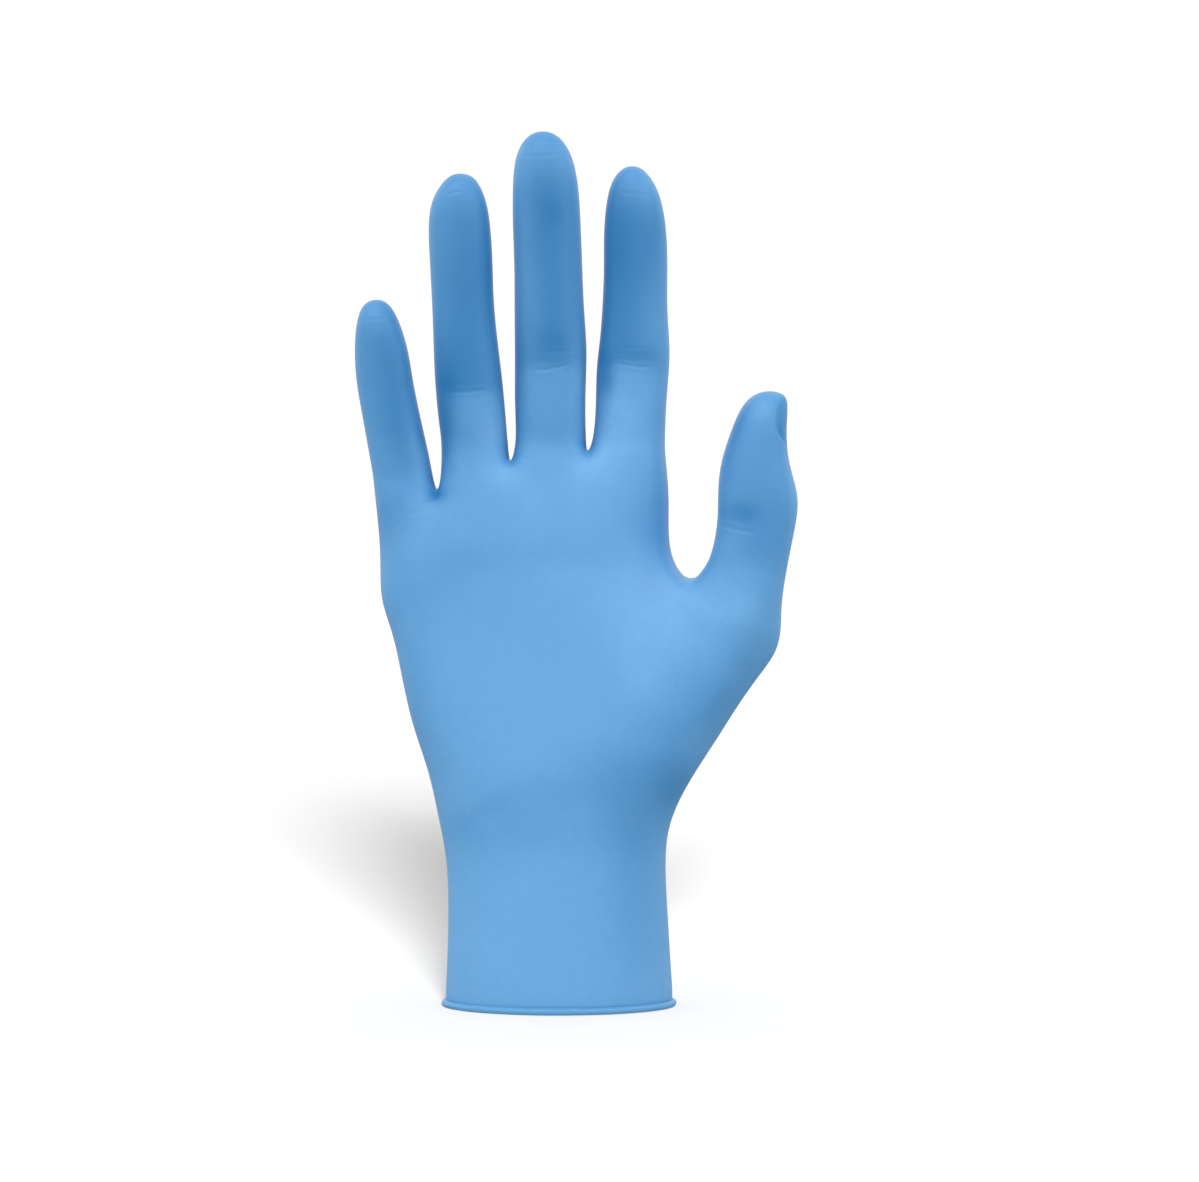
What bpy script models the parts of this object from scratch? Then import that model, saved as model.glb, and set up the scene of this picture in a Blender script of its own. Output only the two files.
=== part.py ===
"""A nitrile exam glove for the right hand, in the form that it has when it is worn.

The glove is one dipped film: cuff, palm, back, four finger stalls and a thumb stall
run into each other with no seam, and the film's own edge is rolled into the bead
round the cuff. So it is one solid, hollow all the way up to the fingertips.

Blender metres, +Z up along the fingers, +X towards the thumb, the palm facing -Y.
The origin is the middle of the cuff's opening, at the height of the bead.
"""

import math
from collections import namedtuple

import bmesh
import bpy
from mathutils import Vector

MM = 0.001

# Driving dimensions, in millimetres.
FILM_WALL = 1.0
BEAD_RADIUS = 0.95
BEAD_OUTSIDE = 0.1  # the bead's centre line, outside the film's outer face
BEAD_POINTS = 52
BEAD_RESOLUTION = 2

# How smooth the film is made, and how far a stall's section is from a plain ellipse.
SMOOTHING = 1
FIT_ROUNDS = 8
SECTION_CORNER = 0.74  # a diagonal corner of a stall, as a share of its half width and half depth

FILM_BLUE = (0.16, 0.41, 0.74, 1.0)
FILM_ROUGHNESS = 0.45

# The hand from the cuff to the roots of the fingers, one row for each section. The little
# finger's edge and the thumb's edge are points of the outline, and the depths are how far
# the palm stands forward of the middle plane and the back behind it, at three places across.
# Fullness 2 is an ellipse, and more is squarer. The knuckles stand out behind the fingers.
HandRow = namedtuple(
    "HandRow",
    "little_x little_z thumb_x thumb_z little_y thumb_y "
    "palm_little palm_middle palm_thumb back_little back_middle back_thumb fullness knuckle",
)
HAND_ROWS = [
    HandRow(-31.4, 0, 31.2, 0, 0, 0, 21.0, 21.5, 21.0, 21.0, 21.5, 21.0, 2.0, 0),
    HandRow(-30.7, 19, 30.2, 19, 0, 0, 19.3, 20.0, 19.6, 19.2, 19.6, 19.2, 2.1, 0),
    HandRow(-31.0, 38, 29.2, 38, 0, 0, 18.0, 18.6, 18.6, 17.6, 17.8, 17.4, 2.2, 0),
    HandRow(-33.4, 51, 31.0, 51, 0, -1, 18.4, 17.8, 20.5, 16.2, 16.6, 15.8, 2.3, 0),
    HandRow(-36.0, 63, 37.2, 63, 0, -2, 19.4, 17.2, 23.8, 15.0, 15.8, 14.0, 2.4, 0),
    HandRow(-40.0, 75, 44.8, 75, -1, -4, 20.4, 16.4, 27.0, 14.0, 15.2, 12.0, 2.5, 0),
    HandRow(-42.9, 87, 52.8, 87, -1, -6, 20.6, 15.4, 29.0, 13.2, 14.8, 10.0, 2.6, 0),
    HandRow(-45.7, 99, 47.0, 102, -1, -7, 19.8, 14.4, 28.0, 12.6, 14.4, 9.5, 2.6, 0),
    HandRow(-48.8, 109, 35.2, 116, -1, -6, 18.4, 13.6, 18.0, 12.0, 14.0, 11.0, 2.7, 0.3),
    HandRow(-49.3, 118, 30.4, 124, -1, -2, 16.8, 13.8, 15.6, 11.4, 13.6, 12.2, 2.7, 0.9),
    HandRow(-49.6, 128, 30.3, 137, -1, -1, 14.6, 14.0, 14.2, 10.8, 13.0, 12.4, 2.7, 1.0),
]
THUMB_HOLE_ROWS = (6, 7, 8)
THUMB_ROOT_SHARE = 0.5  # how far the root's corners lie from the palm towards the thumb's first section

# Places across the hand from -1, the little finger's edge, to 1, the thumb's edge. The four
# odd ones are the fingers' middles, and the three even ones between them are the webs.
ACROSS = (-0.95, -0.78, -0.56, -0.30, -0.05, 0.21, 0.47, 0.74, 0.94)
FINGER_MIDDLES = ACROSS[1::2]
WEB_MARKS = (2, 4, 6)  # which of these places are the webs

# The webs between the fingers: the lowest point of each gap as it is seen from the palm.
Web = namedtuple("Web", "x z")
WEBS = [Web(-33.0, 140.8), Web(-13.2, 148.8), Web(7.8, 151.6)]
WEB_PALM_Y, WEB_PALM_DROP = -10.0, 3.0
WEB_CREST_Y = -2.5
WEB_BACK_Y, WEB_BACK_DROP = 7.0, 6.5

# The edges of the hand level with the webs, and the fingers' roots, from the little finger
# on: how deep each is on the palm and on the back. They lie a little below the webs.
Root = namedtuple("Root", "palm_y back_y")
ROOTS = [Root(-10.6, 8.8), Root(-11.5, 10.4), Root(-11.9, 11.2), Root(-11.9, 11.2)]
ROOT_PALM_DROP, ROOT_BACK_DROP = 1.5, 3.5
EDGE_LITTLE = Vector((-50.8, -1, 139.0))
EDGE_THUMB = Vector((29.4, -1, 149.5))

# The stalls, one row for each section from the root to the tip: two opposite points of the
# outline as it is seen from the palm, how far the section's middle has curled forward, and
# half its depth. For a finger both points have the same height. A web is the share by which
# the near side is thinner, next to the web that it grows from.
StallRow = namedtuple("StallRow", "near_x near_z far_x far_z y half_depth web", defaults=[0])
Tip = namedtuple("Tip", "x y z")


def level(z, near_x, far_x, y, half_depth):
    """A finger's section, whose two outline points are at one height."""
    return StallRow(near_x, z, far_x, z, y, half_depth)


LITTLE_ROWS = [
    level(144.5, -51.3, -34.6, -1.5, 8.2),
    level(150.0, -52.2, -35.6, -2.2, 8.1),
    level(156.5, -53.3, -37.0, -3.1, 7.7),
    level(163.5, -54.5, -38.5, -4.3, 7.4),
    level(171.0, -55.6, -39.9, -5.8, 7.3),
    level(178.5, -55.9, -41.1, -7.6, 7.1),
    level(184.5, -55.4, -42.8, -9.2, 6.4),
    level(188.8, -54.3, -44.7, -10.3, 5.0),
    level(191.2, -52.5, -46.8, -10.9, 3.1),
]
LITTLE_TIP = Tip(-49.5, -11.3, 192.1)

RING_ROWS = [
    level(151.5, -32.5, -13.8, -1.3, 9.2),
    level(159.0, -33.2, -14.4, -2.1, 9.1),
    level(167.5, -34.0, -15.1, -3.3, 8.5),
    level(175.0, -34.4, -15.9, -4.6, 8.5),
    level(184.5, -34.6, -17.0, -6.6, 8.3),
    level(194.0, -34.9, -17.7, -8.8, 7.9),
    level(203.5, -35.3, -17.9, -11.2, 7.8),
    level(211.5, -35.5, -18.4, -13.2, 7.5),
    level(218.0, -34.6, -19.4, -14.9, 6.7),
    level(222.5, -32.1, -21.3, -16.1, 5.1),
    level(224.8, -29.6, -23.4, -16.7, 3.2),
]
RING_TIP = Tip(-26.9, -17.1, 225.6)

MIDDLE_ROWS = [
    level(154.5, -12.2, 7.5, -1.2, 9.8),
    level(163.5, -12.4, 7.3, -2.0, 9.7),
    level(173.5, -12.4, 7.6, -3.2, 9.0),
    level(181.5, -12.4, 7.6, -4.6, 9.1),
    level(191.5, -12.4, 6.9, -6.7, 8.8),
    level(202.0, -12.4, 6.5, -9.1, 8.4),
    level(212.0, -12.7, 6.1, -11.6, 8.2),
    level(221.0, -12.7, 5.6, -14.0, 8.0),
    level(228.5, -12.1, 4.3, -16.2, 7.1),
    level(233.4, -10.2, 1.9, -17.8, 5.3),
    level(235.9, -7.6, -0.9, -18.5, 3.2),
]
MIDDLE_TIP = Tip(-4.3, -18.9, 236.8)

INDEX_ROWS = [
    level(155.0, 9.0, 29.2, -1.4, 9.7),
    level(164.0, 9.8, 29.5, -2.3, 9.6),
    level(174.0, 10.0, 30.3, -3.4, 9.0),
    level(181.5, 10.9, 30.3, -4.7, 9.0),
    level(190.5, 11.6, 29.7, -6.6, 8.6),
    level(199.5, 12.0, 29.7, -8.7, 8.2),
    level(208.0, 12.0, 29.5, -10.7, 8.0),
    level(214.5, 12.3, 28.8, -12.4, 7.7),
    level(220.5, 13.2, 27.3, -14.2, 6.8),
    level(224.6, 14.9, 24.9, -15.6, 5.1),
    level(226.8, 17.2, 22.6, -16.3, 3.2),
]
INDEX_TIP = Tip(19.8, -16.7, 227.6)

# The thumb's first row is its root, where the hole in the hand's edge is.
THUMB_ROWS = [
    StallRow(35.2, 116.0, 54.2, 89.0, -7.0, 13.5),
    StallRow(38.0, 118.0, 59.7, 99.8, -9.8, 12.2, 0.22),
    StallRow(40.5, 121.6, 60.6, 108.0, -11.0, 11.2, 0.08),
    StallRow(42.0, 127.0, 61.8, 117.5, -11.8, 10.5),
    StallRow(42.8, 132.8, 63.7, 127.5, -12.3, 10.5),
    StallRow(42.9, 139.0, 65.1, 136.5, -12.8, 10.8),
    StallRow(43.4, 145.8, 63.8, 143.4, -13.2, 10.6),
    StallRow(44.9, 151.8, 62.2, 149.8, -13.6, 10.0),
    StallRow(47.1, 158.0, 61.8, 156.6, -14.1, 8.9),
    StallRow(49.8, 163.4, 62.0, 162.2, -14.5, 6.9),
    StallRow(53.2, 166.3, 61.3, 165.8, -14.8, 4.0),
]
THUMB_TIP = Tip(57.4, -15.0, 167.2)


def clear_scene():
    for thing in list(bpy.data.objects):
        bpy.data.objects.remove(thing)


def across_three(low, middle, high, t):
    """The smooth curve through three sizes, at t from -1 to 1 across the hand."""
    return middle + (high - low) / 2 * t + ((high + low) / 2 - middle) * t * t


def hand_point(row, t, on_palm):
    """A point of the hand's section, at t across it, on the palm or on the back."""
    share = (t + 1) / 2
    x = row.little_x + (row.thumb_x - row.little_x) * share
    z = row.little_z + (row.thumb_z - row.little_z) * share
    edge_y = row.little_y + (row.thumb_y - row.little_y) * share
    if on_palm:
        face_y = -across_three(row.palm_little, row.palm_middle, row.palm_thumb, t)
    else:
        face_y = across_three(row.back_little, row.back_middle, row.back_thumb, t)
        if t in FINGER_MIDDLES:
            face_y += row.knuckle
    bulge = (1 - abs(t) ** row.fullness) ** (1 / row.fullness)
    return Vector((x, edge_y + (face_y - edge_y) * bulge, z))


def hand_ring(row):
    """The section's corners: little finger's edge, along the palm, thumb's edge, and back."""
    palm = [hand_point(row, t, True) for t in ACROSS]
    back = [hand_point(row, t, False) for t in reversed(ACROSS)]
    return [hand_point(row, -1, True), *palm, hand_point(row, 1, True), *back]


def root_corner(root, edge):
    """The corner of an outer finger's root, between its middle and the hand's edge."""
    corner = root.lerp(edge, SECTION_CORNER)
    corner.y = edge.y + SECTION_CORNER * (root.y - edge.y)
    return corner


def root_face(depths, drop, web_y, web_drop):
    """The palm's or the back's corners level with the webs, from the little finger on."""
    marks = [EDGE_LITTLE, *(Vector((web.x, 0, web.z)) for web in WEBS), EDGE_THUMB]
    face = []
    for left, right, depth in zip(marks, marks[1:], depths):
        middle = (left + right) / 2
        face.append(Vector((middle.x, depth, middle.z - drop)))
        face.append(Vector((right.x, web_y, right.z - web_drop)))
    face[-1] = root_corner(face[-2], EDGE_THUMB)
    return [root_corner(face[0], EDGE_LITTLE), *face]


def root_ring():
    """The corners level with the webs, in the same order as hand_ring."""
    palm = root_face([root.palm_y for root in ROOTS], ROOT_PALM_DROP, WEB_PALM_Y, WEB_PALM_DROP)
    back = root_face([root.back_y for root in ROOTS], ROOT_BACK_DROP, WEB_BACK_Y, WEB_BACK_DROP)
    return [EDGE_LITTLE, *palm, EDGE_THUMB, *reversed(back)]


def stall_ring(row, before, after):
    """The eight corners of a stall's section, square to the line of the stall."""
    near, far = Vector((row.near_x, row.y, row.near_z)), Vector((row.far_x, row.y, row.far_z))
    middle, half_width = (near + far) / 2, (far - near) / 2
    run = middle_of(after) - middle_of(before)
    depth = half_width.cross(run).normalized() * -row.half_depth
    corners = [(-1, 0), (-1, -1), (0, -1), (1, -1), (1, 0), (1, 1), (0, 1), (-1, 1)]
    ring = []
    for across, back in corners:
        share = SECTION_CORNER if across and back else 1
        thinner = 1 - row.web if across < 0 else 1
        ring.append(middle + share * (across * half_width + back * thinner * depth))
    return ring


def middle_of(row):
    if isinstance(row, Tip):
        return Vector(row)
    return Vector(((row.near_x + row.far_x) / 2, row.y, (row.near_z + row.far_z) / 2))


def ring_edges(mesh, ring):
    return [mesh.edges.get(pair) for pair in zip(ring, ring[1:] + ring[:1])]


def pull_out(mesh, ring, places):
    """Extrudes a ring of corners and sets the new ring's corners in their places."""
    pulled = bmesh.ops.extrude_edge_only(mesh, edges=ring_edges(mesh, ring))["geom"]
    fresh = {item for item in pulled if isinstance(item, bmesh.types.BMVert)}
    grown = []
    for corner, place in zip(ring, places):
        new = next(edge.other_vert(corner) for edge in corner.link_edges if edge.other_vert(corner) in fresh)
        new.co = place
        grown.append(new)
    return grown


def close_tip(mesh, ring, tip):
    """Four faces from the last section to one corner at the very tip."""
    top = mesh.verts.new(tip)
    for i in range(0, len(ring), 2):
        mesh.faces.new((ring[i], ring[i + 1], ring[(i + 2) % len(ring)], top))


def grow_stall(mesh, ring, rows, tip, root):
    """Pulls a stall out of its opening, section by section, and closes it at the tip."""
    steps = [root, *rows, tip]
    for i, row in enumerate(rows, start=1):
        ring = pull_out(mesh, ring, stall_ring(row, steps[i - 1], steps[i + 1]))
    close_tip(mesh, ring, Vector(tip))


def hand_tube(mesh):
    """The open tube of the cuff and the hand. Returns its rings, lowest first."""
    sections = [hand_ring(row) for row in HAND_ROWS] + [root_ring()]
    start = bmesh.ops.create_circle(mesh, segments=len(sections[0]), radius=1)["verts"]
    ring = sorted(start, key=lambda corner: math.atan2(corner.co.y, corner.co.x))
    for corner, place in zip(ring, sections[0]):
        corner.co = place
    rings = [ring]
    for section in sections[1:]:
        rings.append(pull_out(mesh, rings[-1], section))
    return rings


def thumb_opening(mesh, rings):
    """Opens the hand's edge for the thumb. Returns the opening's eight corners."""
    low, mid, high = (rings[row] for row in THUMB_HOLE_ROWS)
    edge = len(ACROSS) + 1
    palm, back = edge - 1, edge + 1
    opening = [high[edge], high[palm], mid[palm], low[palm], low[edge], low[back], mid[back], high[back]]
    inner = [high[palm - 1], mid[palm - 1], low[palm - 1], low[back + 1], mid[back + 1], high[back + 1]]
    bmesh.ops.delete(mesh, geom=[mid[edge]], context="VERTS")
    root, first, second = THUMB_ROWS[:3]
    section = stall_ring(first, root, second)
    beyond = section[1:4] + section[5:]
    for corner, beside, ahead in zip(opening[1:4] + opening[5:], inner, beyond):
        corner.co = beside.co.lerp(ahead, THUMB_ROOT_SHARE)
    opening[0].co = (root.near_x, root.y, root.near_z)
    opening[4].co = (root.far_x, root.y, root.far_z)
    return opening


def finger_openings(mesh, ring):
    """Three webs across the top of the hand. Returns the four openings that they leave."""
    edge = len(ACROSS) + 1
    palm, back = ring[1:edge], ring[:edge:-1]
    crests = []
    for web, mark in zip(WEBS, WEB_MARKS):
        crest = mesh.verts.new((web.x, WEB_CREST_Y, web.z))
        mesh.edges.new((palm[mark], crest))
        mesh.edges.new((crest, back[mark]))
        crests.append(crest)
    sides = [ring[0], *crests, ring[edge]]
    openings = []
    for finger in range(4):
        marks = range(2 * finger, 2 * finger + 3)
        front = [palm[i] for i in marks]
        behind = [back[i] for i in reversed(marks)]
        openings.append([sides[finger], *front, sides[finger + 1], *behind])
    return openings


def smooth_place(corner):
    """Where the smoothed surface passes this corner of the cage."""
    ends = [edge.other_vert(corner).co for edge in corner.link_edges]
    if corner.is_boundary:
        rim = [edge.other_vert(corner).co for edge in corner.link_edges if edge.is_boundary]
        return (rim[0] + rim[1] + 4 * corner.co) / 6
    count = len(ends)
    opposite = Vector()
    for loop in corner.link_loops:
        opposite += loop.link_loop_next.link_loop_next.vert.co
    return (count**2 * corner.co + 4 * sum(ends, Vector()) + opposite) / (count * (count + 5))


def fit_cage(mesh):
    """Moves the cage's corners outwards until the smooth surface has the sizes in the tables."""
    wanted = [corner.co.copy() for corner in mesh.verts]
    for _ in range(FIT_ROUNDS):
        reached = [smooth_place(corner) for corner in mesh.verts]
        for corner, want, got in zip(mesh.verts, wanted, reached):
            corner.co += want - got


def film_cage():
    """The glove's outer face as a coarse cage of four-sided faces, in metres."""
    mesh = bmesh.new()
    rings = hand_tube(mesh)
    thumb = thumb_opening(mesh, rings)
    fingers = finger_openings(mesh, rings[-1])
    grow_stall(mesh, thumb, THUMB_ROWS[1:], THUMB_TIP, THUMB_ROWS[0])
    stalls = (
        (LITTLE_ROWS, LITTLE_TIP),
        (RING_ROWS, RING_TIP),
        (MIDDLE_ROWS, MIDDLE_TIP),
        (INDEX_ROWS, INDEX_TIP),
    )
    for opening, (rows, tip) in zip(fingers, stalls):
        grow_stall(mesh, opening, rows, tip, rows[0])
    bmesh.ops.recalc_face_normals(mesh, faces=mesh.faces)
    fit_cage(mesh)
    bmesh.ops.scale(mesh, vec=(MM, MM, MM), verts=mesh.verts)
    return mesh


def film_material():
    material = bpy.data.materials.new("blue_nitrile")
    material.use_nodes = True
    shader = material.node_tree.nodes["Principled BSDF"]
    shader.inputs["Base Color"].default_value = FILM_BLUE
    shader.inputs["Roughness"].default_value = FILM_ROUGHNESS
    shader.inputs["Metallic"].default_value = 0.0
    return material


def bead_roll():
    """The rolled edge as a closed round rod, which is joined to the film."""
    row = HAND_ROWS[0]
    middle = Vector(((row.little_x + row.thumb_x) / 2, 0, 0))
    curve = bpy.data.curves.new("bead_path", "CURVE")
    curve.dimensions = "3D"
    curve.bevel_depth = BEAD_RADIUS * MM
    curve.bevel_resolution = BEAD_RESOLUTION
    path = curve.splines.new("POLY")
    path.points.add(BEAD_POINTS - 1)
    path.use_cyclic_u = True
    for i, point in enumerate(path.points):
        angle = math.tau * i / BEAD_POINTS
        on_film = hand_point(row, math.cos(angle), angle >= math.pi)
        centre = on_film + (on_film - middle).normalized() * BEAD_OUTSIDE
        point.co = (*(centre * MM), 1)
    rod = bpy.data.objects.new("bead_path", curve)
    solid = bpy.data.objects.new("bead_roll", bpy.data.meshes.new_from_object(rod))
    bpy.data.objects.remove(rod)
    solid.hide_render = True
    solid.display_type = "WIRE"
    bpy.context.scene.collection.objects.link(solid)
    return solid


def build_glove():
    cage = film_cage()
    shape = bpy.data.meshes.new("glove")
    cage.to_mesh(shape)
    cage.free()
    glove = bpy.data.objects.new("glove", shape)
    bpy.context.scene.collection.objects.link(glove)
    shape.materials.append(film_material())
    shape.shade_smooth()

    smooth = glove.modifiers.new("smooth_film", "SUBSURF")
    smooth.levels = smooth.render_levels = SMOOTHING
    wall = glove.modifiers.new("film_wall", "SOLIDIFY")
    wall.thickness = FILM_WALL * MM
    wall.offset = -1
    wall.use_even_offset = True
    bead = glove.modifiers.new("rolled_bead", "BOOLEAN")
    bead.operation = "UNION"
    bead.solver = "EXACT"
    bead.object = bead_roll()
    return glove


clear_scene()
build_glove()
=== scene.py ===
import math
from collections import namedtuple

import bmesh
import bpy
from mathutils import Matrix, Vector, noise


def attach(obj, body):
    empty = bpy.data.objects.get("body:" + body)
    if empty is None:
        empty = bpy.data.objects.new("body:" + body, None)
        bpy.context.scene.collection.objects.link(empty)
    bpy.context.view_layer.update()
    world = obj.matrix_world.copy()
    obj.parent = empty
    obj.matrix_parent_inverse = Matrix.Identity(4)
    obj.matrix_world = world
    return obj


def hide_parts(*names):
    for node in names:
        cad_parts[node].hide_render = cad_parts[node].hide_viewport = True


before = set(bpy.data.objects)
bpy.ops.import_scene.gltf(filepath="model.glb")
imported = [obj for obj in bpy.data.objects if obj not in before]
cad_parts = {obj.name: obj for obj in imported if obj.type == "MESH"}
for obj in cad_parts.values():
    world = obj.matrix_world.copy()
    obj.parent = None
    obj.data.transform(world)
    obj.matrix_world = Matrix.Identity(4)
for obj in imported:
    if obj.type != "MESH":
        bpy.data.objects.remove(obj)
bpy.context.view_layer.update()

# The view. The glove is seen square on from the palm's side, from 0.9 m away, at the
# height of the thumb's root. The background is plain white, as in a catalogue.
MM = 0.001
CAMERA_PLACE = (11 * MM, -900 * MM, 113 * MM)
CAMERA_LENS = 98.27  # for the usual 36 mm sensor

scene = bpy.context.scene
camera = bpy.data.objects.new("camera", bpy.data.cameras.new("camera"))
scene.collection.objects.link(camera)
camera.location = CAMERA_PLACE
camera.rotation_euler = (math.pi / 2, 0, 0)
camera.data.lens = CAMERA_LENS
scene.camera = camera
scene.view_settings.view_transform = "Standard"
scene.view_settings.look = "None"


# The floor. A white table top that the cuff's bead just touches, large enough to fade into
# the white behind it. It glows a little, as an overexposed table does.
FLOOR_HEIGHT = -1.0 * MM
FLOOR_REACH = 12.0  # metres
FLOOR_WHITE = (0.32, 0.32, 0.32, 1)
FLOOR_GLOW = 0.06
FLOOR_ROUGHNESS = 0.9

disc = bmesh.new()
bmesh.ops.create_circle(disc, cap_ends=True, segments=96, radius=FLOOR_REACH)
bmesh.ops.translate(disc, verts=disc.verts, vec=(0, 0, FLOOR_HEIGHT))
floor = bpy.data.objects.new("floor", bpy.data.meshes.new("floor"))
disc.to_mesh(floor.data)
disc.free()
scene.collection.objects.link(floor)
white = bpy.data.materials.new("white_table")
white.use_nodes = True
table = white.node_tree.nodes["Principled BSDF"]
table.inputs["Base Color"].default_value = FLOOR_WHITE
table.inputs["Roughness"].default_value = FLOOR_ROUGHNESS
table.inputs["Specular IOR Level"].default_value = 0.0
table.inputs["Emission Color"].default_value = (1, 1, 1, 1)
table.inputs["Emission Strength"].default_value = FLOOR_GLOW
floor.data.materials.append(white)
# The film neither mirrors the table nor takes light from it. The room's lower half stands in.
floor.visible_diffuse = False
floor.visible_glossy = False


class Shade:
    """A socket of a material's or the world's nodes, so that their maths is plain expressions."""

    def __init__(self, tree, socket=None):
        self.tree = tree
        self.socket = socket

    def add(self, kind, settings=None, sockets=None, output=0):
        """Adds one node, with its settings and then its sockets, and returns one output."""
        node = self.tree.nodes.new(kind)
        for name, value in (settings or {}).items():
            setattr(node, name, value)
        for name, value in (sockets or {}).items():
            if isinstance(value, Shade):
                self.tree.links.new(value.socket, node.inputs[name])
            else:
                node.inputs[name].default_value = value
        return Shade(self.tree, node.outputs[output]) if len(node.outputs) else None

    def maths(self, operation, first, second):
        return self.add("ShaderNodeMath", {"operation": operation}, {0: first, 1: second})

    def __add__(self, other):
        return self.maths("ADD", self, other)

    def __radd__(self, other):
        return self.maths("ADD", other, self)

    def __sub__(self, other):
        return self.maths("SUBTRACT", self, other)

    def __rsub__(self, other):
        return self.maths("SUBTRACT", other, self)

    def __mul__(self, other):
        return self.maths("MULTIPLY", self, other)

    def __rmul__(self, other):
        return self.maths("MULTIPLY", other, self)


# The light. A white room, brighter above than below, with one large soft lamp in front of
# the glove, above and a little to the left. A second, lower lamp, a little to the right,
# lights the table alone and throws the long soft shadow behind the cuff, on the left.
ROOM_WHITE = 1.03  # what the camera sees past the glove
ROOM_ABOVE = 1.28  # what lights the glove from above
ROOM_BELOW = 0.82  # and from below
GLOSS_BELOW = 0.1  # what the film mirrors there
LOW_HEIGHT, HIGH_HEIGHT = -0.4, 0.3  # between which the room brightens, as sines of the angle
# Where each lamp stands, in degrees to the right of the camera and above the floor, and how
# wide it is seen from the glove, in degrees too
Lamp = namedtuple("Lamp", "name turn height softness strength")
LAMPS = [
    Lamp("soft_lamp", -14, 45, 34, 0.75),
    Lamp("shadow_lamp", 4.2, 12.5, 11, 26),
]

world = bpy.data.worlds.new("studio")
scene.world = world
world.use_nodes = True
world.node_tree.nodes.clear()
room = Shade(world.node_tree)
direction = room.add("ShaderNodeTexCoord", output="Generated")
upwards = room.add("ShaderNodeSeparateXYZ", {}, {0: direction}, "Z")
in_gloss = room.add("ShaderNodeLightPath", output="Is Glossy Ray")
room_light = room.add(
    "ShaderNodeMapRange",
    {"interpolation_type": "SMOOTHSTEP"},
    {
        "Value": upwards,
        "From Min": LOW_HEIGHT,
        "From Max": HIGH_HEIGHT,
        "To Min": ROOM_BELOW + (GLOSS_BELOW - ROOM_BELOW) * in_gloss,
        "To Max": ROOM_ABOVE,
    },
)
to_camera = room.add("ShaderNodeLightPath", output="Is Camera Ray")
room_light = room_light + to_camera * (ROOM_WHITE - room_light)
backdrop = room.add("ShaderNodeBackground", {}, {"Color": (1, 1, 1, 1), "Strength": room_light})
room.add("ShaderNodeOutputWorld", {}, {"Surface": backdrop})

for row in LAMPS:
    lamp = bpy.data.objects.new(row.name, bpy.data.lights.new(row.name, "SUN"))
    scene.collection.objects.link(lamp)
    turn, height = math.radians(row.turn), math.radians(row.height)
    towards = Vector((
        math.sin(turn) * math.cos(height),
        -math.cos(turn) * math.cos(height),
        math.sin(height),
    ))
    lamp.rotation_euler = towards.to_track_quat("Z", "Y").to_euler()
    lamp.data.angle = math.radians(row.softness)
    lamp.data.energy = row.strength

# A spot from the right, aimed at the fingers, lights the side of each that faces it.
SPOT_PLACE = Vector((620, -560, 360)) * MM
SPOT_AIM = Vector((0, -10, 215)) * MM
SPOT_CONE = 17  # degrees
SPOT_SIZE = 120 * MM
SPOT_POWER = 4.0  # watts

spot = bpy.data.objects.new("finger_spot", bpy.data.lights.new("finger_spot", "SPOT"))
scene.collection.objects.link(spot)
spot.location = SPOT_PLACE
spot.rotation_euler = (SPOT_PLACE - SPOT_AIM).to_track_quat("Z", "Y").to_euler()
spot.data.spot_size = math.radians(SPOT_CONE)
spot.data.spot_blend = 1.0
spot.data.shadow_soft_size = SPOT_SIZE
spot.data.energy = SPOT_POWER


# The film. One skin of nitrile, about a tenth of a millimetre thick, dipped on a hand-shaped
# former and drawn tight by the hand that it is worn on. The CAD solid's loose triangles are
# joined to quads again. Its outer face becomes the film, and its inner face the lining.
CUT_HEIGHT = 3.0 * MM  # below it the bead is built anew
SAME_PLACE = 0.001 * MM
FILM_SMOOTHING = 2
LINING_SMOOTHING = 1
PALM_PADS = (128 * MM, 157 * MM)  # the heights between which the palm's side is evened out
PAD_FACING = -0.75  # where its normal's Y is below this
THUMB_WEB = Vector((33, 0, 116)) * MM  # the web that is evened out too
THUMB_WEB_REACH = 13 * MM
WEB_FACING = -0.2  # as for the pads
PAD_ROUNDS = 4
PAD_SHARE = 0.5  # of the way to the even surface in each round

# Where the flesh under the film stands nearer to the viewer of the palm than in the CAD solid
# (out), or nearer to the thumb's side (aside), in millimetres: on the palm's side of the hand
# alone (-1), on its back alone (1), where a knuckle's out is negative, or on both (0).
Swell = namedtuple("Swell", "x z reach_x reach_z out side aside", defaults=[0])
SWELLS = [
    Swell(33, 120, 11, 12, 2.0, 0),
    Swell(42, 80, 9, 12, 1.5, -1),
    Swell(-38, 80, 8, 16, 1.5, -1),
    Swell(-12, 63, 16, 8, 0.6, -1),
    Swell(22, 66, 10, 8, 0.8, -1),
    Swell(57, 94, 7, 6, 0, 0, 1.6),
    Swell(-46, 103, 8, 7, 0, 0, 0.5),
    # The knuckles and the hollows between them
    Swell(-41, 129, 6, 6, -1.6, 1),
    Swell(-23, 133, 6, 7, -2.2, 1),
    Swell(-3, 135, 6, 7, -2.6, 1),
    Swell(17, 133, 6, 7, -2.2, 1),
    Swell(-32, 132, 3.5, 8, 1.2, 1),
    Swell(-13, 135, 3.5, 8, 1.3, 1),
    Swell(7, 135, 3.5, 8, 1.3, 1),
    Swell(50, 104, 6, 6, -1.2, 1),
]
SWELL_FACING = 0.8  # from where a one-sided swell has its full height


def linked_corners(start):
    """All corners that the mesh joins to this one."""
    found = {start}
    waiting = [start]
    while waiting:
        for edge in waiting.pop().link_edges:
            for corner in edge.verts:
                if corner not in found:
                    found.add(corner)
                    waiting.append(corner)
    return found


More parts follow.
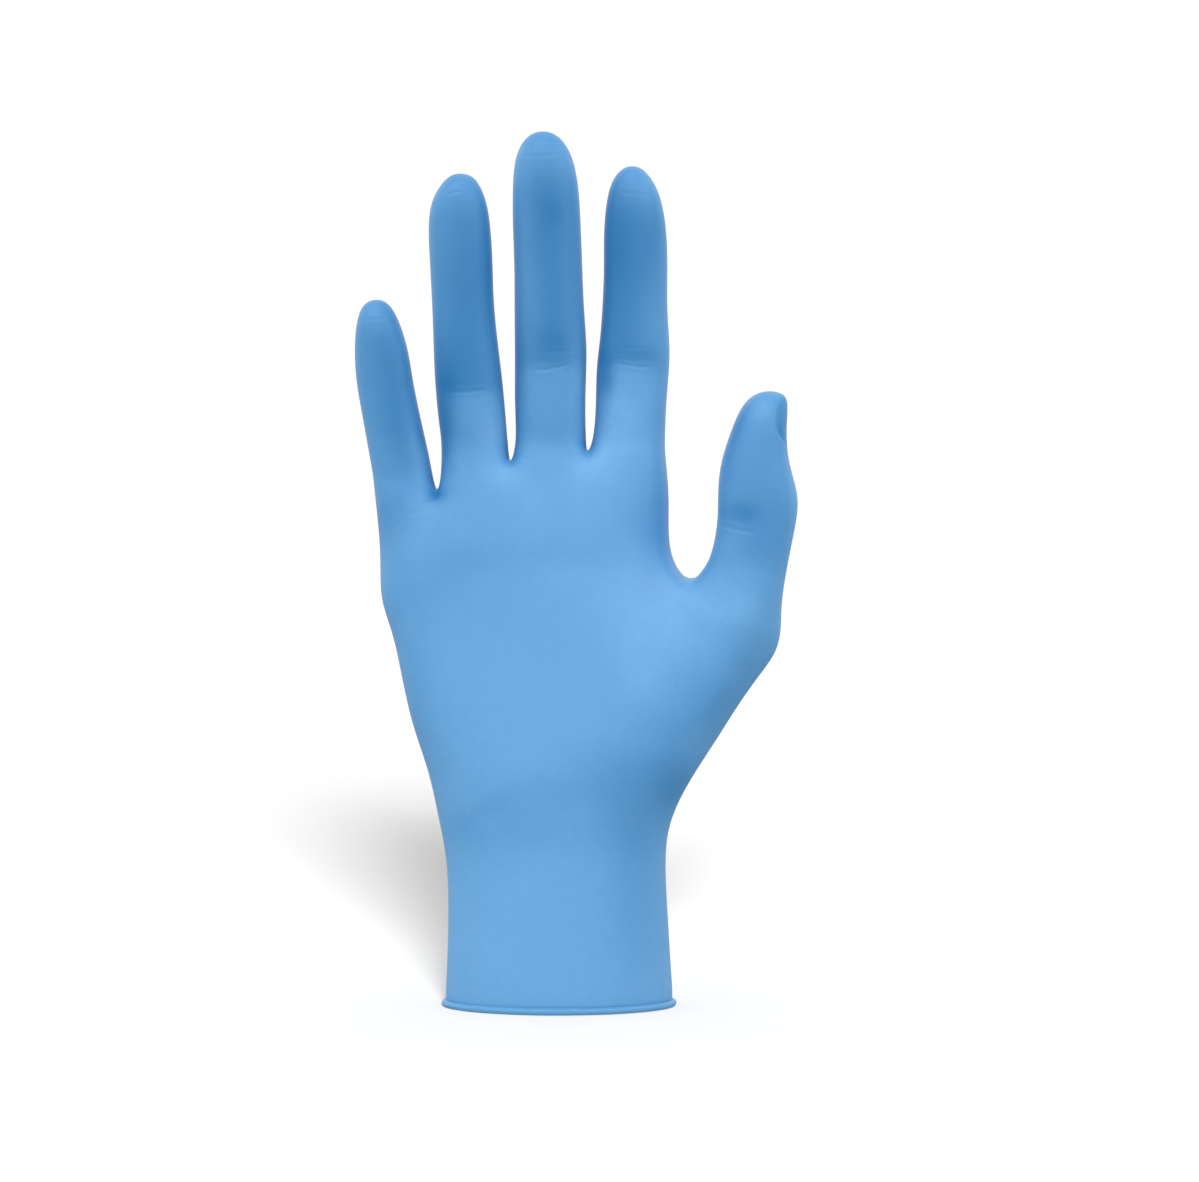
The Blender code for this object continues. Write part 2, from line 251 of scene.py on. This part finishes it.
def nearness(x, z, area):
    """1 in the middle of an area of the glove, seen from the palm, falling off smoothly round it."""
    return math.exp(-((x - area.x) / area.reach_x) ** 2 - ((z - area.z) / area.reach_z) ** 2)


def smoothed(shell, levels):
    """The same shell after some levels of a subdivision surface."""
    holder = bpy.data.objects.new("shell", bpy.data.meshes.new("shell"))
    shell.to_mesh(holder.data)
    shell.free()
    scene.collection.objects.link(holder)
    smooth = holder.modifiers.new("smooth", "SUBSURF")
    smooth.levels = levels
    smooth.render_levels = levels
    bpy.context.view_layer.update()
    finer = bmesh.new()
    finer.from_object(holder, bpy.context.evaluated_depsgraph_get())
    bpy.data.meshes.remove(holder.data)
    return finer


def ease(value, low, high):
    """0 below low and 1 above high, with a smooth step between them."""
    share = min(max((value - low) / (high - low), 0), 1)
    return share * share * (3 - 2 * share)


film = bmesh.new()
film.from_mesh(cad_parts["glove"].data)
bmesh.ops.remove_doubles(film, verts=film.verts, dist=SAME_PLACE)
bmesh.ops.join_triangles(
    film,
    faces=film.faces,
    angle_face_threshold=math.pi,
    angle_shape_threshold=math.pi,
)
bmesh.ops.bisect_plane(
    film,
    geom=[*film.verts, *film.edges, *film.faces],
    plane_co=(0, 0, CUT_HEIGHT),
    plane_no=(0, 0, 1),
    clear_inner=True,
)
film.verts.index_update()
outermost = max(film.verts, key=lambda corner: corner.co.x)
outer = {corner.index for corner in linked_corners(outermost)}
lining = film.copy()
bmesh.ops.delete(lining, geom=[c for c in lining.verts if c.index in outer], context="VERTS")
bmesh.ops.delete(film, geom=[c for c in film.verts if c.index not in outer], context="VERTS")
for shell in (film, lining):
    shell.normal_update()
    for corner in shell.verts:
        x, z = corner.co.x / MM, corner.co.z / MM
        facing = corner.normal.y if shell is film else -corner.normal.y
        for swell in SWELLS:
            near = nearness(x, z, swell)
            if swell.side:
                near *= ease(facing * swell.side, 0, SWELL_FACING)
            corner.co.y -= swell.out * near * MM
            corner.co.x += swell.aside * near * MM
pads = [c for c in film.verts if PALM_PADS[0] < c.co.z < PALM_PADS[1] and c.normal.y < PAD_FACING]
near_web = [c for c in film.verts if (c.co - THUMB_WEB).xz.length < THUMB_WEB_REACH]
pads += [c for c in near_web if c.normal.y < WEB_FACING]
for _ in range(PAD_ROUNDS):
    bmesh.ops.smooth_vert(film, verts=pads, factor=PAD_SHARE, use_axis_y=True)
film = smoothed(film, FILM_SMOOTHING)
lining = smoothed(lining, LINING_SMOOTHING)

# The folds and creases that the hand gives the film: lines pressed in along its surface,
# with a soft lip on both sides. Each is given by its two ends as they are seen from the
# palm, in millimetres, and lies on the palm's side (-1) or on the back (1). Bow is how far
# it bends aside in the middle, and lip is the share of its depth that stands up beside it.
Fold = namedtuple("Fold", "x0 z0 x1 z1 bow depth width lip side", defaults=[0.35, -1])
NAIL_EDGE = Fold(61.3, 167.0, 61.7, 151.6, -3.2, 0.20, 0.70)  # the thumb's, under its film
FOLDS = [
    NAIL_EDGE,
    # The ring finger's middle joint
    Fold(-30.4, 166.9, -18.8, 167.7, -0.25, 0.11, 0.50),
    Fold(-28.5, 169.2, -20.5, 169.6, -0.2, 0.04, 0.5),
    # The middle finger's, with the lines that fan out above it
    Fold(-8.8, 172.9, 4.4, 175.3, -0.8, 0.11, 0.50),
    Fold(-2.5, 174.6, 5.4, 176.9, -0.3, 0.05, 0.42),
    Fold(-4.5, 177.6, 5.2, 178.0, 0.1, 0.05, 0.50),
    # The index finger's
    Fold(14.6, 175.4, 26.2, 173.9, -0.7, 0.10, 0.48),
    Fold(15.6, 176.2, 22.6, 175.2, -0.3, 0.05, 0.42),
    Fold(16.5, 178.8, 24.6, 178.9, -0.1, 0.05, 0.45),
    # The thumb's joint
    Fold(43.2, 131.2, 53.0, 128.6, -0.4, 0.10, 0.55),
    # The web between the little and the ring finger
    Fold(-32.8, 139.6, -37.8, 136.4, 0.3, 0.16, 0.50),
    Fold(-37.0, 136.0, -41.5, 133.2, 0.3, 0.08, 0.45),
    Fold(-40.5, 134.0, -46.0, 129.6, 0.3, 0.06, 0.50),
    # The web between the ring and the middle finger
    Fold(-11.8, 149.0, -9.2, 146.4, 0.1, 0.06, 0.45),
    Fold(-11.2, 149.8, -7.6, 148.6, 0.1, 0.06, 0.40),
    Fold(-14.8, 148.6, -17.2, 146.2, 0.1, 0.05, 0.45),
    # The web between the middle and the index finger
    Fold(8.6, 151.6, 10.8, 149.2, 0.1, 0.05, 0.45),
    Fold(6.8, 151.4, 4.6, 149.4, 0.1, 0.05, 0.45),
    # The fingertips, where the ends of the stalls stand out a little from the fingers
    Fold(-11.0, 229.8, 2.6, 230.6, -0.5, 0.045, 0.50),
    Fold(-7.4, 233.2, 0.4, 233.4, 0.4, 0.04, 0.40),
    Fold(15.6, 220.6, 25.8, 219.8, -0.5, 0.045, 0.50),
    Fold(-30.0, 219.0, -25.6, 220.2, 0.5, 0.07, 0.45),
    Fold(-52.6, 186.4, -47.0, 187.2, -0.4, 0.05, 0.45),
    # The palm
    Fold(-11.4, 135.4, -5.8, 135.9, -0.5, 0.03, 0.45),
    # The back: the sinews, which raise the film, and the joints' wrinkles
    Fold(-22, 128, -11, 76, 1.0, -0.7, 2.6, 0.3, 1),
    Fold(-2.5, 130, -2, 72, 0.5, -0.9, 2.6, 0.3, 1),
    Fold(17, 128, 8, 76, -1.0, -0.8, 2.6, 0.3, 1),
    Fold(-28.2, 171.9, -21.0, 171.6, 0.5, 0.10, 0.50, 0.35, 1),
    Fold(-30.4, 169.0, -18.9, 169.7, 0.3, 0.16, 0.60, 0.35, 1),
    Fold(-27.8, 167.4, -20.6, 167.9, -0.2, 0.09, 0.45, 0.35, 1),
    Fold(-29.0, 165.6, -22.4, 164.9, -0.5, 0.11, 0.55, 0.35, 1),
    Fold(-6.2, 178.4, 1.0, 178.0, 0.6, 0.10, 0.50, 0.35, 1),
    Fold(-8.8, 175.3, 4.0, 175.0, 0.3, 0.17, 0.60, 0.35, 1),
    Fold(-4.6, 173.6, 3.4, 173.2, -0.2, 0.10, 0.45, 0.35, 1),
    Fold(-8.0, 171.6, 0.4, 171.9, -0.5, 0.12, 0.55, 0.35, 1),
    Fold(16.8, 177.9, 24.0, 177.0, 0.5, 0.10, 0.50, 0.35, 1),
    Fold(14.2, 175.2, 26.6, 174.4, 0.3, 0.16, 0.60, 0.35, 1),
    Fold(17.4, 173.3, 25.4, 172.7, -0.2, 0.09, 0.45, 0.35, 1),
    Fold(15.4, 171.6, 22.8, 171.0, -0.5, 0.11, 0.55, 0.35, 1),
    Fold(-49.6, 158.6, -44.0, 159.4, 0.4, 0.09, 0.50, 0.35, 1),
    Fold(-50.6, 155.8, -41.9, 157.6, 0.2, 0.14, 0.55, 0.35, 1),
    Fold(-47.8, 153.4, -42.4, 154.8, -0.3, 0.09, 0.50, 0.35, 1),
    Fold(-30.0, 198.4, -23.6, 199.0, 0.3, 0.09, 0.50, 0.35, 1),
    Fold(-8.0, 206.8, 1.2, 207.2, 0.3, 0.10, 0.50, 0.35, 1),
    Fold(17.0, 202.6, 25.4, 202.0, 0.3, 0.09, 0.50, 0.35, 1),
    Fold(47.4, 133.4, 55.6, 130.8, 0.4, 0.11, 0.55, 0.35, 1),
    Fold(45.6, 130.6, 57.2, 127.2, 0.2, 0.16, 0.60, 0.35, 1),
    Fold(47.0, 127.6, 53.8, 125.8, -0.3, 0.10, 0.50, 0.35, 1),
    # The nails' edges under the film: the root and the two sides of each, but for the thumb's
    # outer side, which is NAIL_EDGE
    Fold(-31.2, 212.6, -23.0, 212.8, 1.3, 0.17, 0.60, 0.35, 1),
    Fold(-31.4, 213.4, -30.6, 221.0, 0.0, 0.17, 0.60, 0.35, 1),
    Fold(-22.8, 213.4, -23.0, 221.0, 0.0, 0.17, 0.60, 0.35, 1),
    Fold(-8.6, 223.0, 0.8, 223.0, 1.4, 0.17, 0.60, 0.35, 1),
    Fold(-8.8, 223.8, -8.2, 232.4, 0.0, 0.17, 0.60, 0.35, 1),
    Fold(1.0, 223.8, 0.4, 232.4, 0.0, 0.17, 0.60, 0.35, 1),
    Fold(15.8, 214.2, 24.8, 214.0, 1.3, 0.17, 0.60, 0.35, 1),
    Fold(15.6, 215.0, 16.0, 223.0, 0.0, 0.17, 0.60, 0.35, 1),
    Fold(25.0, 215.0, 24.6, 223.0, 0.0, 0.17, 0.60, 0.35, 1),
    Fold(-52.8, 180.8, -46.0, 181.6, 1.1, 0.14, 0.55, 0.35, 1),
    Fold(-53.0, 181.6, -52.8, 188.0, 0.0, 0.14, 0.55, 0.35, 1),
    Fold(-45.8, 182.2, -46.6, 188.4, 0.0, 0.14, 0.55, 0.35, 1),
    Fold(50.6, 151.0, 59.4, 150.2, 1.4, 0.17, 0.60, 0.35, 1),
    Fold(50.4, 151.8, 52.2, 161.2, 0.0, 0.17, 0.60, 0.35, 1),
    # The wrist and the cuff
    Fold(-30.0, 45.0, -9.0, 59.0, 0.8, 0.22, 2.40, 0.2),
    Fold(12.2, 24.8, 14.4, 20.8, 0.2, 0.05, 0.35),
    Fold(14.6, 24.0, 16.6, 20.2, 0.2, 0.05, 0.35),
]
FINE_REACH = 2.6  # how far from a fold the mesh is made finer, in widths
FINE_ROUNDS = 2
WIDE_FOLD = 1.5  # mm, from which the mesh is fine enough as it is
FOLD_REACH = 4  # widths, beyond which a fold moves nothing
FOLD_ENDS = (-0.05, 0.3)  # the shares of its length over which it fades in from each end
FOLD_OVERRUN = 0.1  # how far it is looked for beyond its ends
END_WIDTH = 0.6  # times its width
FOLD_WAVER, WAVER_SCALE = 0.12, 0.45  # mm, since no fold runs quite straight
FOLD_FACING = 0.4  # from where the film faces the fold's side fully
LIP_AT = 1.9  # widths from the fold's line
FAR_OFF = 99  # widths, for a point that the fold doesn't reach


def fold_offset(fold, x, z):
    """How far a point is from the fold's line, in its widths, and how strong the fold is there."""
    run_x, run_z = fold.x1 - fold.x0, fold.z1 - fold.z0
    length = math.hypot(run_x, run_z)
    along = ((x - fold.x0) * run_x + (z - fold.z0) * run_z) / length**2
    if not -FOLD_OVERRUN < along < 1 + FOLD_OVERRUN:
        return FAR_OFF, 0
    across = ((x - fold.x0) * run_z - (z - fold.z0) * run_x) / length
    across += fold.bow * 4 * along * (1 - along)
    across += FOLD_WAVER * noise.noise(Vector((x, z, fold.x0)) * WAVER_SCALE)
    strength = ease(min(along, 1 - along), *FOLD_ENDS)
    return across / (fold.width * (END_WIDTH + (1 - END_WIDTH) * strength)), strength


def near_fold(corner, folds):
    """Whether a corner is close to a fold that is too narrow for the mesh."""
    x, z = corner.co.x / MM, corner.co.z / MM
    for fold in folds:
        if fold.width < WIDE_FOLD and corner.normal.y * fold.side > 0:
            if abs(fold_offset(fold, x, z)[0]) < FINE_REACH:
                return True
    return False


def make_finer(mesh, folds):
    """Splits the faces round the folds, keeping the surface round."""
    mesh.normal_update()
    close = {corner for corner in mesh.verts if near_fold(corner, folds)}
    edges = {edge for corner in close for edge in corner.link_edges}
    bmesh.ops.subdivide_edges(mesh, edges=list(edges), cuts=1, use_grid_fill=True, smooth=1.0)


def press_folds(mesh, folds):
    """Moves the corners along their normals, so that each fold is a groove between two lips."""
    mesh.normal_update()
    moves = []
    for corner in mesh.verts:
        x, z = corner.co.x / MM, corner.co.z / MM
        move = 0
        for fold in folds:
            facing = corner.normal.y * fold.side
            if facing <= 0:
                continue
            offset, strength = fold_offset(fold, x, z)
            if abs(offset) < FOLD_REACH:
                dent = math.exp(-(offset**2)) - fold.lip * math.exp(-((abs(offset) - LIP_AT) ** 2))
                move -= fold.depth * dent * strength * ease(facing, 0, FOLD_FACING)
        if move:
            moves.append((corner, corner.normal * move * MM))
    for corner, move in moves:
        corner.co += move


for _ in range(FINE_ROUNDS):
    make_finer(film, FOLDS)
press_folds(film, FOLDS)

# How deep the film's blue is: partly how thick the film is, partly painted shade and painted light.
# The glove is dipped with its fingers down and the nitrile runs to their ends before it sets, so
# its blue is deepest beyond the middle joints, most of all along the pads; the step at each middle
# joint and the deep blue beyond it are also painted shade where the bent fingers face down. The
# hand stretches the film thin and pale elsewhere. A stall's blue is a little deeper (low) from low_z
# to low_full, which rise or fall across it (lean), and deep from start to full, deepest beside its
# middle line (dark_side), which is painted shade on the side that the next finger shades.
Stall = namedtuple("Stall", "root_x root_z tip_x tip_z dark_side lean low_z low_full low start full")
STALLS = [
    Stall(-43.0, 145, -49.5, 192, 1.3, -0.72, 122, 140, 0.80, 144, 162),
    Stall(-23.0, 151, -27.0, 225, 0.3, -0.30, 118, 150, 0.52, 165, 169),
    Stall(-2.0, 154, -4.0, 237, 0.3, 0.0, 138, 150, 0.54, 172, 176),
    Stall(19.0, 155, 20.0, 227, -3.2, 0.0, 150, 168, 0.20, 172, 177),
    Stall(51.0, 112, 57.0, 167, 0.0, 0.0, 114, 126, 0.80, 200, 210),
]
STALL_HALF = 10  # mm from a stall's middle line to its side
STALL_FADE = 1.6  # times that, where nothing is left of it
# The paler sides of each stall are painted light, where light reaches round the fingers
LIT_SIDES = 0.8  # the share that the sides lose
SIDE_MOST = 1.2  # times that, at most
SIDES_EASE = 12  # mm below low_full, from where they lose it
THIN_FILM = 0.3  # away from the stalls
THICK_FILM_AND_SHADE = 1.33  # on the stalls beyond the middle joints
NAIL_SHADE = 0.55  # painted shade on the facet beside the fold at the thumb's nail
NAIL_EASE = 0.6  # in the fold's widths
DEEPEST = 1.6  # the value, film thickness and painted shade together, that has the deepest blue
BACK_EASE = 14  # mm, since no joint's crease bounds the deep blue on the back
PALM_FACING = (-0.3, 0.4)  # between which the film turns from the back to the palm's side

# Painted shade and painted light on the palm's side, laid over the stalls' blue: deeper where more is
# above 0, paler where it is below 0
ShadingPatch = namedtuple("ShadingPatch", "x z reach_x reach_z more")
SHADING_PATCHES = [
    # The ends of the stalls
    ShadingPatch(-49, 188, 7, 6, -0.35),
    ShadingPatch(-27, 221, 9, 6, -0.35),
    ShadingPatch(-4, 230, 10, 7, -0.45),
    ShadingPatch(20, 222, 9, 6, -0.35),
    ShadingPatch(28, 215, 4, 12, 0.45),
    ShadingPatch(55, 161, 6, 5, -0.3),
    # The fingers
    ShadingPatch(-31, 168, 5, 12, 0.5),
    ShadingPatch(-30.5, 156, 2.5, 13, 0.5),
    ShadingPatch(-19, 202, 2.5, 14, 0.3),
    ShadingPatch(-29, 208, 5, 10, -0.15),
    ShadingPatch(-15.5, 157, 2, 8, -0.4),
    ShadingPatch(-39.5, 168, 2, 14, -0.35),
    ShadingPatch(-42.5, 182, 2, 9, -0.35),
    ShadingPatch(-42, 150, 4, 8, 0.1),
    ShadingPatch(-50, 168, 4, 16, -0.15),
    ShadingPatch(-19, 155, 4, 7, -0.35),
    ShadingPatch(-11, 172, 2.5, 14, 0.4),
    ShadingPatch(-10, 205, 3, 26, -0.3),
    ShadingPatch(-1.5, 181, 5, 3, 0.2),
    ShadingPatch(-7, 192, 4, 14, -0.15),
    ShadingPatch(-1.5, 215, 3, 4, 0.2),
    ShadingPatch(5.5, 205, 1.5, 20, -0.4),
    ShadingPatch(5.5, 165, 2, 16, -0.5),
    ShadingPatch(12.8, 171, 2.2, 5, 0.9),
    ShadingPatch(16, 161, 2.5, 5, -0.4),
    ShadingPatch(25, 176, 4, 4, 0.35),
    ShadingPatch(17, 206, 4, 12, 0.2),
    ShadingPatch(25, 204, 4, 12, 0.3),
    ShadingPatch(28, 188, 3, 24, 0.35),
    ShadingPatch(19, 158, 6, 8, -0.35),
    ShadingPatch(46, 152, 3, 12, 0.35),
    ShadingPatch(48.8, 134, 5, 3.2, 0.5),
    ShadingPatch(61, 135, 3, 14, 0.2),
    ShadingPatch(48.5, 160, 3, 6, 0.35),
    # The webs
    ShadingPatch(-33.5, 139, 2.5, 2, 1.1),
    ShadingPatch(-12.7, 149.5, 2, 3, 0.6),
    ShadingPatch(7.8, 152.3, 2, 3, 0.6),
    ShadingPatch(-15, 145, 5, 4, -0.3),
    ShadingPatch(-3, 150, 7, 4, -0.15),
    ShadingPatch(7, 146, 7, 4, -0.3),
    ShadingPatch(12, 154, 3, 5, -0.3),
    ShadingPatch(-37, 148, 2.5, 6, -0.4),
    ShadingPatch(26, 128, 5, 13, 0.5),
    ShadingPatch(32, 109, 9, 5, -0.2),
    ShadingPatch(44, 118, 4, 6, -0.2),
    # The palm and the wrist
    ShadingPatch(-38, 114, 12, 7, 0.25),
    ShadingPatch(-44, 121, 4, 6, 0.2),
    ShadingPatch(-28, 121, 10, 5, 0.15),
    ShadingPatch(19, 132, 5, 5, 0.15),
    ShadingPatch(-28, 126, 26, 9, 0.1),
    ShadingPatch(0, 118, 14, 4, -0.12),
    ShadingPatch(49, 109, 6, 5, -0.3),
    ShadingPatch(-38, 92, 6, 14, 0.25),
    ShadingPatch(41, 85, 10, 9, 0.5),
    ShadingPatch(39, 111, 4, 4, 0.2),
    ShadingPatch(56, 126, 6, 9, 0.15),
    ShadingPatch(57, 109, 5, 9, 0.25),
    ShadingPatch(50, 96, 7, 7, 0.25),
    ShadingPatch(22, 91, 6, 7, -0.25),
    ShadingPatch(26, 100, 14, 9, -0.3),
    ShadingPatch(28, 77, 12, 6, 0.3),
    ShadingPatch(18, 67, 15, 7, 0.35),
    ShadingPatch(31, 60, 7, 9, 0.55),
    ShadingPatch(6, 59, 20, 6, 0.25),
    ShadingPatch(-8, 48, 20, 7, 0.23),
    ShadingPatch(-25, 48, 5, 4, 0.2),
    ShadingPatch(-16, 54, 6, 4, 0.2),
    ShadingPatch(-22, 20, 12, 14, -0.1),
    ShadingPatch(18, 50, 9, 12, 0.25),
    ShadingPatch(21, 32, 8, 24, 0.3),
]


def film_thickness_and_shade(x, z, facing):
    """How deep the film's blue is at a point, on the scale of DEEPEST: its thickness with painted
    shade and painted light. Facing is 1 on the palm's side.
    """
    most = 0
    for stall in STALLS:
        share = min(max((z - stall.root_z) / (stall.tip_z - stall.root_z), 0), 1)
        across = x - (stall.root_x + (stall.tip_x - stall.root_x) * share)
        level = z + stall.lean * (x - stall.root_x)
        near = 1 - ease(abs(across), STALL_HALF, STALL_HALF * STALL_FADE)
        side = min(((across - stall.dark_side) / STALL_HALF) ** 2, SIDE_MOST)
        slow = 1 - facing
        upper = ease(z, stall.start - BACK_EASE * slow, stall.full + BACK_EASE * slow)
        deep = stall.low * ease(level, stall.low_z, stall.low_full) * (1 - upper) + THICK_FILM_AND_SHADE * upper
        lit_sides = LIT_SIDES * side * ease(z, stall.low_full - SIDES_EASE, stall.low_full)
        most = max(most, near * deep * (1 - lit_sides))
    total = THIN_FILM * (1 - most) + most
    # Painted shade on the facet beside the thumb's nail fold
    offset, strength = fold_offset(NAIL_EDGE, x, z)
    total += NAIL_SHADE * facing * strength * ease(-offset, -NAIL_EASE, NAIL_EASE)
    # The patches' painted shade and painted light
    total += facing * sum(patch.more * nearness(x, z, patch) for patch in SHADING_PATCHES)
    return max(total, 0)


# Where the film lies in fine creases, too small for the mesh, since it isn't drawn tight.
Creased = namedtuple("Creased", "x z reach_x reach_z")
CREASED = [
    Creased(45, 94, 17, 11),
    Creased(-40, 134, 8, 5),
    Creased(27, 62, 14, 10),
    Creased(-28, 55, 12, 9),
]

# Each corner keeps the film's blue depth, with its painted shade and painted light, and how creased it
# lies.
film.normal_update()
for name in ("thickness", "creasing"):
    film.verts.layers.float.new(name)
thickness = film.verts.layers.float["thickness"]
creasing = film.verts.layers.float["creasing"]
for corner in film.verts:
    x, z = corner.co.x / MM, corner.co.z / MM
    corner[thickness] = film_thickness_and_shade(x, z, ease(-corner.normal.y, *PALM_FACING))
    corner[creasing] = max(nearness(x, z, area) for area in CREASED)

# The rolled bead. The film's edge is rolled up on itself at the end of dipping, a cord of
# 1.9 mm that keeps the cuff round and helps to pull it on. Its last turn ends in a fine
# line on the outside. It runs on from the film, and inside it the film's inner face begins.
BEAD_RADIUS = 0.95  # mm, like the other lengths here
BEAD_MIDDLE = 0.2  # outside the film's face
BEAD_START, BEAD_END = 112, -172  # degrees round the roll, from the groove to the inside
BEAD_STEPS = 26
ROLL_EDGE = 38  # degrees, where the last turn ends
EDGE_EASE = 5
ROLL_STEP = 0.07  # how far it stands out there
WAVE_SCALE, WAVE_OUT, WAVE_TURN = 90, 0.04, 14  # turn in degrees, for the last turn's end
RIPPLE_SCALE, RIPPLE_OUT, RIPPLE_TURN = 420, 0.018, 0.012
RIPPLE_PLACE = 5  # in the noise, away from the wave

# The rows between the film and the roll, and between the roll and the lining: how far out of
# the film's face, and how high
NECK_ROWS = [(0, 2.2), (0, 1.6), (-0.02, 1.25), (-0.08, 1.0)]
LINING_ROWS = [(-1.0, 0.8), (-1.0, 1.8)]


def extrude_rim(mesh, rim, place):
    """Adds one row of faces to the rim. Place gives the new corners' distance out and height."""
    made = bmesh.ops.extrude_edge_only(mesh, edges=rim)["geom"]
    foot, outwards = mesh.verts.layers.float_vector["foot"], mesh.verts.layers.float_vector["outwards"]
    for corner in made:
        if isinstance(corner, bmesh.types.BMVert):
            out, height = place(corner.co)
            corner.co = corner[foot] + corner[outwards] * out * MM
            corner.co.z = height * MM
    return [edge for edge in made if isinstance(edge, bmesh.types.BMEdge) and edge.is_boundary]


def roll_place(degrees):
    """Where the roll's skin is at an angle, with the unevenness that a rolled edge has."""

    def place(co):
        wave = noise.noise(Vector((co.x, co.y, 0)) * WAVE_SCALE)
        along = Vector((co.x, co.y, RIPPLE_PLACE)) * RIPPLE_SCALE
        ripple = noise.noise(along + Vector((0, 0, degrees * RIPPLE_TURN)))
        edge = ROLL_EDGE + WAVE_TURN * wave
        step = ROLL_STEP * ease(degrees, edge - EDGE_EASE, edge + EDGE_EASE)
        radius = BEAD_RADIUS + WAVE_OUT * wave + RIPPLE_OUT * ripple - step
        angle = math.radians(degrees)
        return BEAD_MIDDLE + radius * math.cos(angle), radius * math.sin(angle)

    return place


for name in ("foot", "outwards"):
    film.verts.layers.float_vector.new(name)
foot, outwards = film.verts.layers.float_vector["foot"], film.verts.layers.float_vector["outwards"]
film.normal_update()
rim = [edge for edge in film.edges if edge.is_boundary]
for edge in rim:
    for corner in edge.verts:
        corner[foot] = corner.co
        corner[outwards] = Vector((corner.normal.x, corner.normal.y, 0)).normalized()
for row in NECK_ROWS:
    rim = extrude_rim(film, rim, lambda co, row=row: row)
for step in range(BEAD_STEPS + 1):
    rim = extrude_rim(film, rim, roll_place(BEAD_START + (BEAD_END - BEAD_START) * step / BEAD_STEPS))
for row in LINING_ROWS:
    rim = extrude_rim(film, rim, lambda co, row=row: row)

# The lining is joined on, so that the film is one closed skin.
spare = bpy.data.meshes.new("lining")
lining.to_mesh(spare)
lining.free()
film.from_mesh(spare)
bpy.data.meshes.remove(spare)
bmesh.ops.bridge_loops(film, edges=[edge for edge in film.edges if edge.is_boundary])
bmesh.ops.recalc_face_normals(film, faces=film.faces)
for face in film.faces:
    face.smooth = True

piece = bpy.data.objects.new("glove_film", bpy.data.meshes.new("glove_film"))
film.to_mesh(piece.data)
film.free()
scene.collection.objects.link(piece)

# The nitrile. Light blue and satin, with the faint unevenness of a dipped film, a fine
# grain that keeps it from shining, a deeper blue where the film is thick, which also carries
# painted shade and painted light, and a deeper blue where it lies several times in the bead.
FILM_BLUE = (0.112, 0.331, 0.618, 1)
FILM_PALE = (0.126, 0.354, 0.641, 1)
# the thick film's blue, which is also the colour of the painted shade
DEEP_BLUE = (0.003, 0.147, 0.380, 1)
BEAD_BLUE = (0.088, 0.290, 0.545, 1)
BEAD_TOP = (0.6 * MM, 1.1 * MM)  # the heights between which the bead's blue ends
FILM_GLOSS = 0.45  # a little less than a plain plastic's
FILM_ROUGHNESS = 0.48
CLOUD_ROUGHNESS = 0.06
CLOUD_SCALE, MOTTLE_SCALE, CREASE_SCALE, GRAIN_SCALE = 55.0, 420.0, 800.0, 2600.0
MOTTLE_SHARE = 1.6  # of the unevenness
GRAIN_HEIGHT = 0.05 * MM
GRAIN_STRENGTH = 0.12
CREASE_HEIGHT = 45  # times the grain's

nitrile = bpy.data.materials.new("nitrile")
nitrile.use_nodes = True
skin = Shade(nitrile.node_tree)
finish = nitrile.node_tree.nodes["Principled BSDF"]
point = skin.add("ShaderNodeTexCoord", output="Object")
height = skin.add("ShaderNodeSeparateXYZ", {}, {0: point}, "Z")
cloud = skin.add("ShaderNodeTexNoise", {}, {"Vector": point, "Scale": CLOUD_SCALE, "Detail": 2.0})
mottle = skin.add("ShaderNodeTexNoise", {}, {"Vector": point, "Scale": MOTTLE_SCALE, "Detail": 3.0})
grain = skin.add("ShaderNodeTexNoise", {}, {"Vector": point, "Scale": GRAIN_SCALE, "Detail": 2.0})
in_bead = skin.add(
    "ShaderNodeMapRange",
    {"interpolation_type": "SMOOTHSTEP"},
    {"Value": height, "From Min": BEAD_TOP[0], "From Max": BEAD_TOP[1], "To Min": 1.0, "To Max": 0.0},
)
tint = skin.add(
    "ShaderNodeMix",
    {"data_type": "RGBA"},
    {"Factor": cloud + MOTTLE_SHARE * (mottle - 0.5), 6: FILM_BLUE, 7: FILM_PALE},
    2,
)
# The thick film's deeper blue, with the painted shade and painted light that the attribute carries
thick_and_shade = skin.add("ShaderNodeAttribute", {"attribute_name": "thickness"}, {}, "Fac") * (1 / DEEPEST)
tint = skin.add("ShaderNodeMix", {"data_type": "RGBA"}, {"Factor": thick_and_shade, 6: tint, 7: DEEP_BLUE}, 2)
tint = skin.add("ShaderNodeMix", {"data_type": "RGBA"}, {"Factor": in_bead, 6: tint, 7: BEAD_BLUE}, 2)
rough = FILM_ROUGHNESS + CLOUD_ROUGHNESS * (cloud - 0.5)
creased = skin.add("ShaderNodeAttribute", {"attribute_name": "creasing"}, {}, "Fac")
creases = skin.add(
    "ShaderNodeTexNoise",
    {},
    {"Vector": point, "Scale": CREASE_SCALE, "Detail": 3.0, "Distortion": 1.2},
)
relief = skin.add(
    "ShaderNodeBump",
    {},
    {
        "Strength": GRAIN_STRENGTH,
        "Distance": GRAIN_HEIGHT,
        "Height": grain + CREASE_HEIGHT * creased * creases,
    },
)
nitrile.node_tree.links.new(tint.socket, finish.inputs["Base Color"])
nitrile.node_tree.links.new(rough.socket, finish.inputs["Roughness"])
nitrile.node_tree.links.new(relief.socket, finish.inputs["Normal"])
finish.inputs["Specular IOR Level"].default_value = FILM_GLOSS
piece.data.materials.append(nitrile)

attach(piece, "root")
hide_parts("glove")

# Which lamp lights what: the soft lamp and the spot the glove alone, the shadow lamp the table.
table_top = bpy.data.collections.new("table_top")
table_top.objects.link(floor)
worn = bpy.data.collections.new("worn")
worn.objects.link(piece)
for lamp_name in ("soft_lamp", "finger_spot"):
    bpy.data.objects[lamp_name].light_linking.receiver_collection = worn
bpy.data.objects["shadow_lamp"].light_linking.receiver_collection = table_top
